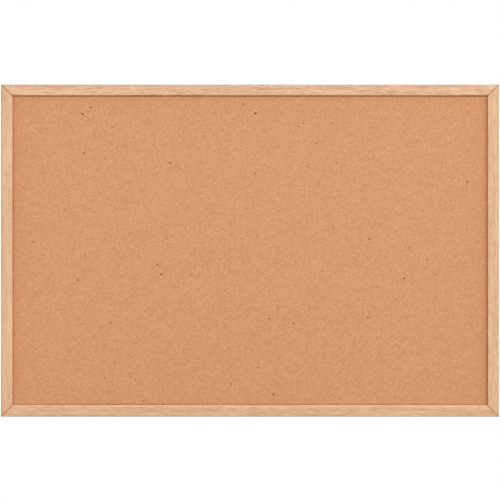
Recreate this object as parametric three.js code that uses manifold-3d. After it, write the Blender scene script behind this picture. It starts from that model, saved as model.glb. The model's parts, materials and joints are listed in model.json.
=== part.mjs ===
// A framed cork pinboard. Its front faces -Y and the wall is at +Y, X runs to the right as the board is
// looked at, and Z is up. The origin is the middle of the board's bounding box, lengths in millimetres.
import * as THREE from "three";
import { mergeVertices } from "three/addons/utils/BufferGeometryUtils.js";
import Module from "manifold-3d";

const wasm = await Module();
wasm.setup();

// The board's outline and the moulding of its frame
const boardWidth = 900;
const boardHeight = 600;
const railWall = 14; // wood outside the rabbet
const lipWidth = 7.5; // wood that reaches over the cork
const sightDepth = 3; // from the frame's front down to the cork
const sightChamferWidth = 2.1;
const sightChamferDepth = 2.7;
const outerRound = 1.5;
const backArris = 0.6;
const mitreGap = 0.3;

// The panel that lies in the rabbet
const corkThickness = 2;
const corkPress = 0.3; // how far the lip presses into the cork
const corkPlay = 0.3; // from the lip's sight edge to the cork that isn't pressed
const coreThickness = 7;
const backingThickness = 1;
const panelPlay = 1; // to the rabbet's wall, on every side
const backRecess = 2; // from the frame's back down to the panel's

// V-nails, driven into each mitre from the back
const nailInsetShares = [0.29, 0.66]; // of the rail's wall, from both outer edges to the V's point
const nailInsetNames = ["outer", "inner"];
const nailLeg = 5;
const nailThickness = 0.5;
const nailLip = 0.8;
const nailHeight = 10;
const nailSetback = 0.3;

// Framer's points, half in the rail and half over the backing
const pointWidth = 6;
const pointLength = 15;
const pointThickness = 0.45;
const pointEmbed = 7;
const pointTip = 2;
const longRailShares = [-0.375, -0.125, 0.125, 0.375]; // of the panel's width, from its middle
const shortRailShares = [-0.33, 0, 0.33]; // of the panel's height, from its middle
const slotPlay = 0.3; // round the nails and the points

// Ring hangers on the backs of the stiles
const hangerDrop = 150; // from the board's top edge to the ring's hinge
const hangerInset = 8; // from the board's side edge
const strapWidth = 8;
const strapThickness = 1;
const strapLength = 26; // from the hinge to the strap's round end
const rollSeam = 0.4;
const wireDiameter = 2;
const wirePlay = 0.3; // between the wire and the rolled eye
const ringBend = 2; // bend radius of the wire's middle line
const ringSide = 1.5; // straight stretch between bend and bow
const ringButt = 0.3; // where the wire's ends meet, inside the eye
const barPlay = 0.4; // from the strap's side to the ring's bend
const screwDrop = 19; // from the hinge to the screw
const screwDiameter = 3;
const screwLength = 12;
const screwTip = 3;
const screwHeadDiameter = 6;
const screwHeadHeight = 2;
const screwHeadRim = 0.8;
const screwPlay = 0.3;

// Bumpers that hold the board's foot off the wall
const bumperDiameter = 11;
const bumperHeight = 5;
const bumperInset = 25; // from the board's side edge to its middle

// How finely curves are faceted, how far cutters run past a face, and how close points are one point
const roundSteps = 5;
const wireSteps = 44;
const eyeSteps = 20;
const turnSteps = 20;
const domeSteps = 5;
const overrun = 1;
const weld = 0.0001;

// Sizes that follow from those above
const railFace = railWall + lipWidth;
const lipDepth = sightDepth + corkPress;
const panelThickness = corkThickness + coreThickness + backingThickness;
const railDepth = sightDepth + panelThickness + backRecess;
const panelWidth = boardWidth - 2 * (railWall + panelPlay);
const panelHeight = boardHeight - 2 * (railWall + panelPlay);
const frontPlane = -(railDepth + bumperHeight) / 2;
const backPlane = frontPlane + railDepth;
const corkPlane = frontPlane + sightDepth;
const panelBackPlane = corkPlane + panelThickness;
const wireRadius = wireDiameter / 2;
const eyeRadius = wireRadius + wirePlay;
const rollRadius = eyeRadius + strapThickness;
const hangerHeight = boardHeight / 2 - hangerDrop;
const quarterTurn = Math.PI / 2;

// A closed solid from a geometry, for cutting and joining.
function solidOf(geometry) {
  const bare = geometry.clone();
  bare.deleteAttribute("normal");
  bare.deleteAttribute("uv");
  const merged = mergeVertices(bare, weld);
  return new wasm.Manifold(
    new wasm.Mesh({
      numProp: 3,
      vertProperties: new Float32Array(merged.getAttribute("position").array),
      triVerts: new Uint32Array(merged.index.array),
    }),
  );
}

// A flat-shaded geometry from a solid.
function geometryOf(solid) {
  const mesh = solid.getMesh();
  const shared = new THREE.BufferGeometry();
  shared.setAttribute("position", new THREE.BufferAttribute(mesh.vertProperties, 3));
  shared.setIndex(new THREE.BufferAttribute(mesh.triVerts, 1));
  const geometry = shared.toNonIndexed();
  geometry.computeVertexNormals();
  return geometry;
}

function cutAway(geometry, cutters) {
  let solid = solidOf(geometry);
  for (const cutter of cutters) {
    solid = solid.subtract(solidOf(cutter));
  }
  return geometryOf(solid);
}

function join(geometry, other) {
  return geometryOf(solidOf(geometry).add(solidOf(other)));
}

function keepInside(geometry, outline) {
  return geometryOf(solidOf(geometry).intersect(solidOf(outline)));
}

function extrude(shape, depth) {
  return new THREE.ExtrudeGeometry(shape, { depth, bevelEnabled: false, curveSegments: roundSteps });
}

// A prism whose plan is drawn seen from behind the board: its x is X, its y is down, and it rises to +Y.
function risePlan(plan, height) {
  return extrude(plan, height).rotateX(-quarterTurn);
}

// A round hole's cutter along Y, from one depth to another.
function drill(radius, from, to) {
  const rod = new THREE.CylinderGeometry(radius, radius, to - from, turnSteps);
  return rod.translate(0, (from + to) / 2, 0);
}

// The moulding's section: x runs inwards from the outer edge, y from the front to the back. The front
// has a rounded outer edge and a chamfered sight edge, and the rabbet is behind the lip.
function railSection() {
  const section = new THREE.Shape();
  section.absarc(outerRound, outerRound, outerRound, Math.PI, 3 * quarterTurn, false);
  section.lineTo(railFace - sightChamferWidth, 0);
  section.lineTo(railFace, sightChamferDepth);
  section.lineTo(railFace, lipDepth);
  section.lineTo(railWall, lipDepth);
  section.lineTo(railWall, railDepth);
  section.lineTo(backArris, railDepth);
  section.lineTo(0, railDepth - backArris);
  return section;
}

// A length of moulding with mitred ends, as the top rail lies: outer edge at z = 0, front at y = 0. The
// section is drawn out by one unit, and each end point then moves along the rail by half the outer
// length, less its own distance inwards, which is a cut at 45 degrees.
function mitredMoulding(outerLength) {
  const bar = extrude(railSection(), 1);
  const points = bar.getAttribute("position");
  const setback = (mitreGap / 2) * Math.SQRT2;
  for (let i = 0; i < points.count; i += 1) {
    const inwards = points.getX(i);
    const reach = outerLength / 2 - inwards - setback;
    const along = points.getZ(i) > 0 ? reach : -reach;
    points.setXYZ(i, along, points.getY(i), -inwards);
  }
  return bar;
}

// The plan of a V-nail: two legs at right angles from the V's point, each ending in a lip that is turned
// outwards. Play makes the plan of the slot that it is driven into.
function nailPlan(play) {
  const half = nailThickness / 2 + play;
  const end = nailLeg + play;
  const lipStart = nailLeg - nailThickness - play;
  const lipEdge = nailThickness / 2 + nailLip + play;
  const plan = new THREE.Shape();
  plan.moveTo(-half, -half);
  plan.lineTo(lipStart, -half);
  plan.lineTo(lipStart, -lipEdge);
  plan.lineTo(end, -lipEdge);
  plan.lineTo(end, half);
  plan.lineTo(half, half);
  plan.lineTo(half, end);
  plan.lineTo(-lipEdge, end);
  plan.lineTo(-lipEdge, lipStart);
  plan.lineTo(-half, lipStart);
  return plan;
}

// The nail slots of a rail, at both its ends. The legs run away from the corner along both rails.
function nailSlots(outerLength) {
  const depth = nailSetback + nailHeight + slotPlay;
  const slots = [];
  for (const share of nailInsetShares) {
    const inset = share * railWall;
    for (const end of [-1, 1]) {
      const slot = risePlan(nailPlan(slotPlay), depth + overrun);
      slot.rotateY(end > 0 ? quarterTurn : 0);
      slots.push(slot.translate(end * (outerLength / 2 - inset), railDepth - depth, -inset));
    }
  }
  return slots;
}

// The slots in the rabbet's wall that hold the framer's points, at shares of the panel's length.
function pointSlots(panelLength, shares) {
  const width = pointWidth + 2 * slotPlay;
  const height = pointThickness + 2 * slotPlay;
  const depth = pointEmbed + slotPlay + overrun;
  return shares.map((share) => {
    const slot = new THREE.BoxGeometry(width, height, depth);
    const middle = sightDepth + panelThickness + pointThickness / 2;
    return slot.translate(share * panelLength, middle, depth / 2 - railWall - overrun);
  });
}

// The pilot hole of a hanger's screw, at a distance along the stile from its middle.
function pilotHole(along) {
  const bottom = railDepth + strapThickness - screwLength - screwPlay;
  return drill(screwDiameter / 2 + screwPlay, bottom, railDepth + overrun).translate(along, 0, -hangerInset);
}

function longRail() {
  return cutAway(mitredMoulding(boardWidth), [
    ...nailSlots(boardWidth),
    ...pointSlots(panelWidth, longRailShares),
  ]);
}

// A stile, as the top rail lies. Which way is up depends on the side, so that is where its hole goes.
function stile(side) {
  return cutAway(mitredMoulding(boardHeight), [
    ...nailSlots(boardHeight),
    ...pointSlots(panelHeight, shortRailShares),
    pilotHole(-side * (hangerHeight - screwDrop)),
  ]);
}

// A sheet of the panel, its front at y = 0.
function panelSheet(thickness) {
  return new THREE.BoxGeometry(panelWidth, thickness, panelHeight).translate(0, thickness / 2, 0);
}

// The cork: inside the sight edge it has its full thickness, and the lip presses its border flatter.
function corkSheet() {
  const fieldWidth = boardWidth - 2 * (railFace + corkPlay);
  const fieldHeight = boardHeight - 2 * (railFace + corkPlay);
  const field = new THREE.BoxGeometry(fieldWidth, corkThickness, fieldHeight);
  const border = panelSheet(corkThickness - corkPress).translate(0, corkPress, 0);
  return join(border, field.translate(0, corkThickness / 2, 0));
}

function vNail() {
  return risePlan(nailPlan(0), nailHeight);
}

// A framer's point, as the top rail holds it: a flat strip, its driven end tapered, which reaches down
// from the rabbet's wall at z = 0.
function framersPoint() {
  const plan = new THREE.Shape();
  plan.moveTo(0, -pointEmbed);
  plan.lineTo(pointWidth / 2, pointTip - pointEmbed);
  plan.lineTo(pointWidth / 2, pointLength - pointEmbed);
  plan.lineTo(-pointWidth / 2, pointLength - pointEmbed);
  plan.lineTo(-pointWidth / 2, pointTip - pointEmbed);
  return risePlan(plan, pointThickness);
}

// The strap's plan: a round lower end, and sides drawn wide of the strap so that only the end cuts.
function strapPlan() {
  const side = strapWidth / 2 + overrun;
  const top = rollRadius + overrun;
  const endCentre = strapLength - strapWidth / 2;
  const plan = new THREE.Shape();
  plan.moveTo(-side, -top);
  plan.lineTo(side, -top);
  plan.lineTo(side, endCentre);
  plan.absarc(0, endCentre, strapWidth / 2, 0, Math.PI, false);
  plan.lineTo(-side, endCentre);
  return plan;
}

// The strap of a hanger. Its side view is a strip that lies on the wood and rolls up round the wire in
// an eye, whose lip stops short of the strip by the seam. The hinge is at the origin's height.
function hangerStrap() {
  const rollEnd = Math.PI + Math.asin((rollRadius - strapThickness - rollSeam) / rollRadius);
  const side = new THREE.Shape();
  side.moveTo(-strapLength, 0);
  side.lineTo(0, 0);
  side.absarc(0, rollRadius, rollRadius, -quarterTurn, rollEnd, false);
  side.absarc(0, rollRadius, eyeRadius, rollEnd, -quarterTurn, true);
  side.lineTo(-strapLength, strapThickness);
  const strip = new THREE.ExtrudeGeometry(side, {
    depth: strapWidth,
    bevelEnabled: false,
    curveSegments: eyeSteps,
  });
  strip.rotateY(-quarterTurn).translate(strapWidth / 2, 0, 0);
  const rise = 2 * rollRadius + 2 * overrun;
  const rounded = keepInside(strip, risePlan(strapPlan(), rise).translate(0, -overrun, 0));
  const hole = drill(screwDiameter / 2 + screwPlay, -overrun, strapThickness + overrun);
  return cutAway(rounded, [hole.translate(0, 0, -screwDrop)]);
}

// A flat path stood up in the XZ plane.
class UprightPath extends THREE.Curve {
  constructor(path) {
    super();
    this.path = path;
  }

  getPoint(t, target = new THREE.Vector3()) {
    const flat = this.path.getPointAt(t);
    return target.set(flat.x, 0, flat.y);
  }
}

// A hanger's ring: wire bent to a D, which hangs from the bar in the eye. The wire's ends meet in the
// middle of the bar.
function hangerRing() {
  const bar = strapWidth / 2 + barPlay;
  const bow = bar + ringBend;
  const bend = -ringBend;
  const bowCentre = bend - ringSide;
  const path = new THREE.Path();
  path.moveTo(ringButt / 2, 0);
  path.lineTo(bar, 0);
  path.absarc(bar, bend, ringBend, quarterTurn, 0, true);
  path.lineTo(bow, bowCentre);
  path.absarc(0, bowCentre, bow, 0, -Math.PI, true);
  path.lineTo(-bow, bend);
  path.absarc(-bar, bend, ringBend, Math.PI, quarterTurn, true);
  path.lineTo(-ringButt / 2, 0);
  const section = new THREE.Shape();
  section.absarc(0, 0, wireRadius, 0, 2 * Math.PI, false);
  return new THREE.ExtrudeGeometry(section, {
    steps: wireSteps,
    extrudePath: new UprightPath(path),
    curveSegments: roundSteps,
  });
}

// A pan-head screw along Y, with the underside of its head at y = 0.
function hangerScrew() {
  const profile = [
    new THREE.Vector2(0, -screwLength),
    new THREE.Vector2(screwDiameter / 2, screwTip - screwLength),
    new THREE.Vector2(screwDiameter / 2, 0),
    new THREE.Vector2(screwHeadDiameter / 2, 0),
  ];
  for (let i = 0; i <= domeSteps; i += 1) {
    const lift = (i / domeSteps) * quarterTurn;
    const radius = (screwHeadDiameter / 2) * Math.cos(lift);
    const rise = screwHeadRim + (screwHeadHeight - screwHeadRim) * Math.sin(lift);
    profile.push(new THREE.Vector2(i < domeSteps ? radius : 0, rise));
  }
  return new THREE.LatheGeometry(profile, turnSteps);
}

// A stick-on bumper: a cap of a sphere, its flat face on the wood at y = 0.
function wallBumper() {
  const base = bumperDiameter / 2;
  const sphere = (base * base + bumperHeight * bumperHeight) / (2 * bumperHeight);
  const rim = Math.asin((bumperHeight - sphere) / -sphere);
  const profile = [new THREE.Vector2(0, 0)];
  for (let i = 0; i <= domeSteps; i += 1) {
    const lift = rim + (i / domeSteps) * (quarterTurn - rim);
    const radius = i < domeSteps ? sphere * Math.cos(lift) : 0;
    profile.push(new THREE.Vector2(radius, bumperHeight - sphere + sphere * Math.sin(lift)));
  }
  return new THREE.LatheGeometry(profile, turnSteps);
}

function paleWood() {
  return new THREE.MeshStandardMaterial({ color: 0xe2b692, roughness: 0.6, metalness: 0 });
}

function pressedCork() {
  return new THREE.MeshStandardMaterial({ color: 0xd69b71, roughness: 0.95, metalness: 0 });
}

function softFibreboard() {
  return new THREE.MeshStandardMaterial({ color: 0xa78a63, roughness: 0.95, metalness: 0 });
}

function brownBacking() {
  return new THREE.MeshStandardMaterial({ color: 0x9a7450, roughness: 0.85, metalness: 0 });
}

function zincSteel() {
  return new THREE.MeshStandardMaterial({ color: 0xb9bcbf, roughness: 0.35, metalness: 1 });
}

function clearRubber() {
  return new THREE.MeshStandardMaterial({ color: 0xcfcdc6, roughness: 0.5, metalness: 0 });
}

function addPiece(parent, name, geometry, material) {
  const piece = new THREE.Mesh(geometry, material);
  piece.name = name;
  parent.add(piece);
  return piece;
}

// The four sides of the frame, clockwise from the top as the front is seen. Each is made as the top
// rail lies, and its group carries it to its own edge of the board.
const sides = [
  { rail: "top_rail", points: "top", shares: longRailShares, length: panelWidth, x: 0, z: 1 },
  { rail: "right_stile", points: "right", shares: shortRailShares, length: panelHeight, x: 1, z: 0 },
  { rail: "bottom_rail", points: "bottom", shares: longRailShares, length: panelWidth, x: 0, z: -1 },
  { rail: "left_stile", points: "left", shares: shortRailShares, length: panelHeight, x: -1, z: 0 },
];

function addFrameSide(board, side, turns) {
  const edge = new THREE.Group();
  edge.position.set((side.x * boardWidth) / 2, 0, (side.z * boardHeight) / 2);
  edge.rotation.y = turns * quarterTurn;
  board.add(edge);
  const moulding = side.x === 0 ? longRail() : stile(side.x);
  addPiece(edge, side.rail, moulding, paleWood()).position.y = frontPlane;
  side.shares.forEach((share, i) => {
    const point = addPiece(edge, `framers_point_${side.points}_${i + 1}`, framersPoint(), zincSteel());
    point.position.set(share * side.length, panelBackPlane, -railWall);
  });
}

// The corners, clockwise from the top left, with the way out to each.
const corners = [
  { name: "top_left", x: -1, z: 1 },
  { name: "top_right", x: 1, z: 1 },
  { name: "bottom_right", x: 1, z: -1 },
  { name: "bottom_left", x: -1, z: -1 },
];

function addCornerNails(board, corner, turns) {
  nailInsetShares.forEach((share, i) => {
    const inset = share * railWall;
    const nail = addPiece(board, `v_nail_${corner.name}_${nailInsetNames[i]}`, vNail(), zincSteel());
    nail.position.x = corner.x * (boardWidth / 2 - inset);
    nail.position.y = backPlane - nailSetback - nailHeight;
    nail.position.z = corner.z * (boardHeight / 2 - inset);
    nail.rotation.y = turns * quarterTurn;
  });
}

function addPanel(board) {
  const corePlane = corkPlane + corkThickness;
  addPiece(board, "cork_sheet", corkSheet(), pressedCork()).position.y = corkPlane;
  addPiece(board, "core_board", panelSheet(coreThickness), softFibreboard()).position.y = corePlane;
  const backing = addPiece(board, "backing_sheet", panelSheet(backingThickness), brownBacking());
  backing.position.y = corePlane + coreThickness;
}

function addHanger(board, name, side) {
  const hanger = new THREE.Group();
  hanger.position.set(side * (boardWidth / 2 - hangerInset), backPlane, hangerHeight);
  board.add(hanger);
  addPiece(hanger, `${name}_hanger_strap`, hangerStrap(), zincSteel());
  addPiece(hanger, `${name}_hanger_ring`, hangerRing(), zincSteel()).position.y = rollRadius;
  const screw = addPiece(hanger, `${name}_hanger_screw`, hangerScrew(), zincSteel());
  screw.position.set(0, strapThickness, -screwDrop);
}

function addBumper(board, name, side) {
  const bumper = addPiece(board, `${name}_wall_bumper`, wallBumper(), clearRubber());
  const height = railWall / 2 - boardHeight / 2;
  bumper.position.set(side * (boardWidth / 2 - bumperInset), backPlane, height);
}

const board = new THREE.Group();
sides.forEach((side, turns) => addFrameSide(board, side, turns));
corners.forEach((corner, turns) => addCornerNails(board, corner, turns));
addPanel(board);
for (const [name, side] of [["left", -1], ["right", 1]]) {
  addHanger(board, name, side);
  addBumper(board, name, side);
}

export default board;
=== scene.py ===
# A framed cork pinboard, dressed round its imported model. Metres, Z up, the cork faces -Y, the wall is at +Y.
import json
import math

import bpy
import numpy as np
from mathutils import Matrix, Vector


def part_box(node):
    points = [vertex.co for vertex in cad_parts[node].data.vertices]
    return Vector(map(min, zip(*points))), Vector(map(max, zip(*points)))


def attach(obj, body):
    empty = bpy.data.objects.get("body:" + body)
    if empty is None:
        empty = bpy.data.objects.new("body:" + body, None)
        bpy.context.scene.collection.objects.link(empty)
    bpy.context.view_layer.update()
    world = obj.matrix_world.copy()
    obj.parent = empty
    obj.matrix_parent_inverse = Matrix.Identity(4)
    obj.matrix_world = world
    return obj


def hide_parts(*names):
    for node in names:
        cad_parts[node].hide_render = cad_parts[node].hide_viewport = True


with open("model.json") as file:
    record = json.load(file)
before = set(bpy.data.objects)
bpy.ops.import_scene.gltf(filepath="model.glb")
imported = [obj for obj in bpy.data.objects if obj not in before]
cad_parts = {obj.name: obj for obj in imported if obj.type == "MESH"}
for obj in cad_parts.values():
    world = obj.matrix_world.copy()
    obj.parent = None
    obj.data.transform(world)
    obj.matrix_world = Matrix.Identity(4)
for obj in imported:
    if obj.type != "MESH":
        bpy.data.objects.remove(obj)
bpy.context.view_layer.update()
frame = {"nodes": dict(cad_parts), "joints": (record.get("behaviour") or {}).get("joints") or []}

mm = 0.001
quarterTurn = math.pi / 2
fullTurn = 2 * math.pi

# What every piece is placed by
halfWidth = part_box("right_stile")[1].x
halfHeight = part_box("top_rail")[1].z
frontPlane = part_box("top_rail")[0].y
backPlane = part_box("top_rail")[1].y
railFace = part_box("top_rail")[1].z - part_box("top_rail")[0].z
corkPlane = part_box("cork_sheet")[0].y
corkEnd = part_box("cork_sheet")[1]
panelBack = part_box("backing_sheet")[1].y


# Arrays that make the surfaces

def softOutline(corners, radii, arcSteps=5, sideSteps=5):
    # Every corner becomes an arc that starts and ends at radius * tan(turn / 2) from it. The points between
    # two arcs are spaced by a cosine, closer together near the arcs. Returns the points in order.
    corners = np.asarray(corners, float)
    radii = np.asarray(radii, float)
    ahead = np.roll(corners, -1, 0) - corners
    ahead /= np.linalg.norm(ahead, axis=1)[:, None]
    before = np.roll(ahead, 1, 0)
    turn = np.arctan2(before[:, 0] * ahead[:, 1] - before[:, 1] * ahead[:, 0], (before * ahead).sum(1))
    start = corners - before * (radii * np.tan(np.abs(turn) / 2))[:, None]
    side = np.sign(turn)[:, None] * np.stack([-before[:, 1], before[:, 0]], 1)
    centre = start + side * radii[:, None]
    arm = start - centre
    angle = turn[:, None] * np.linspace(0, 1, arcSteps)
    c, s = np.cos(angle)[..., None], np.sin(angle)[..., None]
    across = np.stack([-arm[:, 1], arm[:, 0]], 1)
    arcs = centre[:, None] + arm[:, None] * c + across[:, None] * s
    share = (1 - np.cos(np.linspace(0, math.pi, sideSteps + 2)[1:-1])) / 2
    nextStart = np.roll(arcs[:, 0], -1, 0)
    straights = arcs[:, -1][:, None] * (1 - share)[:, None] + nextStart[:, None] * share[:, None]
    return np.concatenate([arcs, straights], 1).reshape(-1, 2)


def outlineNormals(outline):
    # The unit normal at each point of a closed outline, square to the chord between its two neighbours.
    chord = np.roll(outline, -1, 0) - np.roll(outline, 1, 0)
    normal = np.stack([chord[:, 1], -chord[:, 0]], 1)
    normal /= np.linalg.norm(normal, axis=1)[:, None] + 1e-12
    area = (outline[:, 0] * np.roll(outline[:, 1], -1) - outline[:, 1] * np.roll(outline[:, 0], -1)).sum()
    return normal * np.sign(area)


def circle(count):
    # Angles spaced evenly once round
    return np.arange(count) / count * fullTurn


def eased(share):
    # An S from 0 to 1, which is 3 * share^2 - 2 * share^3
    share = np.clip(share, 0, 1)
    return share * share * (3 - 2 * share)


def ringQuads(count, around):
    # A quad joins each two neighbours of a ring to the same two of the next ring, all the way round.
    r, c = np.meshgrid(np.arange(count - 1), np.arange(around), indexing="ij")
    here, there, after = r * around, (r + 1) * around, (c + 1) % around
    return np.stack([here + c, here + after, there + after, there + c], -1).reshape(-1, 4)


def ringStack(rings):
    # rings is (ring, point, 3). Neighbouring rings are joined by quads, and the first and last ring are
    # closed by one face each, so the surface is shut.
    count, around = rings.shape[:2]
    caps = np.stack([np.arange(around)[::-1], (count - 1) * around + np.arange(around)])
    return rings.reshape(-1, 3), [ringQuads(count, around), caps]


def gridQuads(rows, columns):
    # A quad for each cell of a grid whose points are counted row by row
    r, c = np.meshgrid(np.arange(rows - 1), np.arange(columns - 1), indexing="ij")
    first = r * columns + c
    return np.stack([first, first + columns, first + columns + 1, first + 1], -1).reshape(-1, 4)


def gridRim(rows, columns):
    # The points on the rim of such a grid, once round
    return np.concatenate([
        np.arange(rows - 1) * columns, (rows - 1) * columns + np.arange(columns - 1),
        np.arange(rows - 1, 0, -1) * columns + columns - 1, np.arange(columns - 1, 0, -1),
    ])


def outwards(points, faces):
    # The sum of point . (next x third) over the faces' fans is six times the volume: if it is negative the
    # faces point inwards, and every face is turned round.
    volume = 0.0
    for polygons in faces:
        for i in range(1, polygons.shape[1] - 1):
            a, b, c = points[polygons[:, 0]], points[polygons[:, i]], points[polygons[:, i + 1]]
            volume += np.einsum("ij,ij->", a, np.cross(b, c))
    return faces if volume > 0 else [polygons[:, ::-1] for polygons in faces]


def makePiece(name, points, faces, body, material, replaces=(), attributes=None, sharpAngle=35):
    # One mesh from a point array and its polygon arrays, smooth except where two faces meet sharply
    faces = outwards(points, faces)
    sizes = np.concatenate([np.full(len(p), p.shape[1]) for p in faces])
    corners = np.concatenate([p.ravel() for p in faces])
    mesh = bpy.data.meshes.new(name)
    mesh.vertices.add(len(points))
    mesh.vertices.foreach_set("co", points.astype(np.float32).ravel())
    mesh.loops.add(len(corners))
    mesh.loops.foreach_set("vertex_index", corners.astype(np.int32))
    mesh.polygons.add(len(sizes))
    mesh.polygons.foreach_set("loop_start", (np.cumsum(sizes) - sizes).astype(np.int32))
    mesh.update(calc_edges=True)
    mesh.validate()
    mesh.polygons.foreach_set("use_smooth", np.ones(len(mesh.polygons), bool))
    mesh.set_sharp_from_angle(angle=math.radians(sharpAngle))
    for key, values in (attributes or {}).items():
        data = mesh.attributes.new(key, "FLOAT", "POINT").data
        data.foreach_set("value", values.astype(np.float32).ravel())
    mesh.materials.append(material)
    piece = bpy.data.objects.new(name, mesh)
    bpy.context.scene.collection.objects.link(piece)
    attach(piece, body)
    if replaces:
        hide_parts(*replaces)
    return piece


def stripAlong(path, normals, sideways, halfWidths, thickness, soften):
    # A flat strip carried along a path: its section is a rectangle with softened corners, as wide as
    # halfWidths says at each station, and as thick as thickness along that station's normal. The section is
    # drawn on a square of half side 1, whose corners are arcs, and then stretched.
    arcShare = 0.35
    flat = 1 - arcShare
    outline = softOutline([(-1, -1), (1, -1), (1, 1), (-1, 1)], [arcShare] * 4, 4, 2)
    onFlat = np.abs(outline) < flat - 0.01
    edge = np.sign(outline) * (1 - np.abs(outline))
    half = halfWidths[:, None]
    wide = np.sign(outline[:, 0]) * half - edge[:, 0] * np.minimum(soften, half)
    wide = np.where(onFlat[:, 0], outline[:, 0] / flat * np.maximum(half - soften, 0), wide)
    thick = np.sign(outline[:, 1]) * thickness / 2 - edge[:, 1] * soften
    thick = np.where(onFlat[:, 1], outline[:, 1] / flat * (thickness / 2 - soften), thick)
    return path[:, None] + wide[..., None] * sideways + thick[..., None] * normals[:, None]


def smoothNoise(random, shape, passes):
    # Random heights. In each pass a height becomes the mean of its four neighbours and twice itself. They are
    # scaled to a spread of 1.
    heights = random.normal(size=shape)
    for _ in range(passes):
        padded = np.pad(heights, 1, mode="edge")
        heights = 2 * heights + padded[:-2, 1:-1] + padded[2:, 1:-1] + padded[1:-1, :-2] + padded[1:-1, 2:]
        heights /= 6
    return heights / heights.std()


# Shader nodes

noiseRange = (0.3, 0.7)     # where nearly all of a noise lies


def newMaterial(name):
    material = bpy.data.materials.new(name)
    material.use_nodes = True
    material.node_tree.nodes.clear()
    return material, material.node_tree


def put(tree, kind, inputs=None, **settings):
    # Adds a node. An input is a value, or a socket that it is linked from
    node = tree.nodes.new("ShaderNode" + kind)
    for key, value in settings.items():
        setattr(node, key, value)
    for key, value in (inputs or {}).items():
        if isinstance(value, bpy.types.NodeSocket):
            tree.links.new(value, node.inputs[key])
        else:
            node.inputs[key].default_value = value
    return node


def times(colour, factors):
    return tuple(c * f for c, f in zip(colour, factors))


def mixColour(tree, factor, a, b, blend="MIX"):
    # A colour is a socket or three numbers, which get an alpha of 1
    solid = [tuple(c) + (1,) if isinstance(c, (tuple, list)) and len(c) == 3 else c for c in (a, b)]
    inputs = {0: factor, 6: solid[0], 7: solid[1]}
    return put(tree, "Mix", inputs, data_type="RGBA", blend_type=blend).outputs[2]


def painted(tree, name):
    # The mesh's own value of that name
    return put(tree, "Attribute", attribute_name=name).outputs["Fac"]


def stained(tree, colour, name, share):
    # The colour, and share times the colour where the mesh's own value of that name is 1
    stain = mixColour(tree, 1.0, colour, share, "MULTIPLY")
    return mixColour(tree, painted(tree, name), colour, stain)


def maths(tree, operation, a, b):
    return put(tree, "Math", {0: a, 1: b}, operation=operation).outputs[0]


def remap(tree, value, low, high, toLow=0.0, toHigh=1.0):
    inputs = {"Value": value, "From Min": low, "From Max": high, "To Min": toLow, "To Max": toHigh}
    return put(tree, "MapRange", inputs).outputs[0]


def objectPlace(tree, turn=(0, 0, 0), shift=(0, 0, 0)):
    place = put(tree, "TexCoord").outputs["Object"]
    return put(tree, "Mapping", {"Vector": place, "Rotation": turn, "Location": shift}).outputs[0]


def stretched(tree, place, size):
    # The place counted in cells of the given size, or of the three sizes along X, Y and Z
    sizes = size if isinstance(size, tuple) else (size, size, size)
    return put(tree, "Mapping", {"Vector": place, "Scale": tuple(1 / s for s in sizes)}).outputs[0]


def noise(tree, place, size, detail=2.0, roughness=0.5, distortion=0.0):
    inputs = {"Vector": stretched(tree, place, size), "Scale": 1.0, "Detail": detail, "Roughness": roughness}
    inputs["Distortion"] = distortion
    return put(tree, "TexNoise", inputs).outputs[0]


def cells(tree, place, size, output="Color", feature="F1"):
    inputs = {"Vector": stretched(tree, place, size), "Scale": 1.0}
    return put(tree, "TexVoronoi", inputs, feature=feature).outputs[output]


def addUp(tree, layers, weights, contrast=1.0):
    # The sum of contrast * weight * (layer - 0.5) over the named weights, plus a half
    total = 0.5 - sum(weight * contrast for weight in weights.values()) / 2
    for name, weight in weights.items():
        inputs = {0: layers[name], 1: weight * contrast, 2: total}
        total = put(tree, "Math", inputs, operation="MULTIPLY_ADD").outputs[0]
    return total


def finishMaterial(tree, colour, roughness, height=None, bump=(0.0, 0.0), **fixed):
    # bump is the depth of the surface's relief and how strongly it shows
    shader = put(tree, "BsdfPrincipled", {"Base Color": colour, "Roughness": roughness})
    for key, value in fixed.items():
        shader.inputs[key.replace("_", " ")].default_value = value
    if height is not None:
        inputs = {"Height": height, "Distance": bump[0], "Strength": bump[1]}
        tree.links.new(put(tree, "Bump", inputs).outputs[0], shader.inputs["Normal"])
    output = put(tree, "OutputMaterial")
    tree.links.new(shader.outputs[0], output.inputs[0])


# The frame's wood: pale, straight-grained, satin. Its marks have a size along the grain and two across it.

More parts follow.
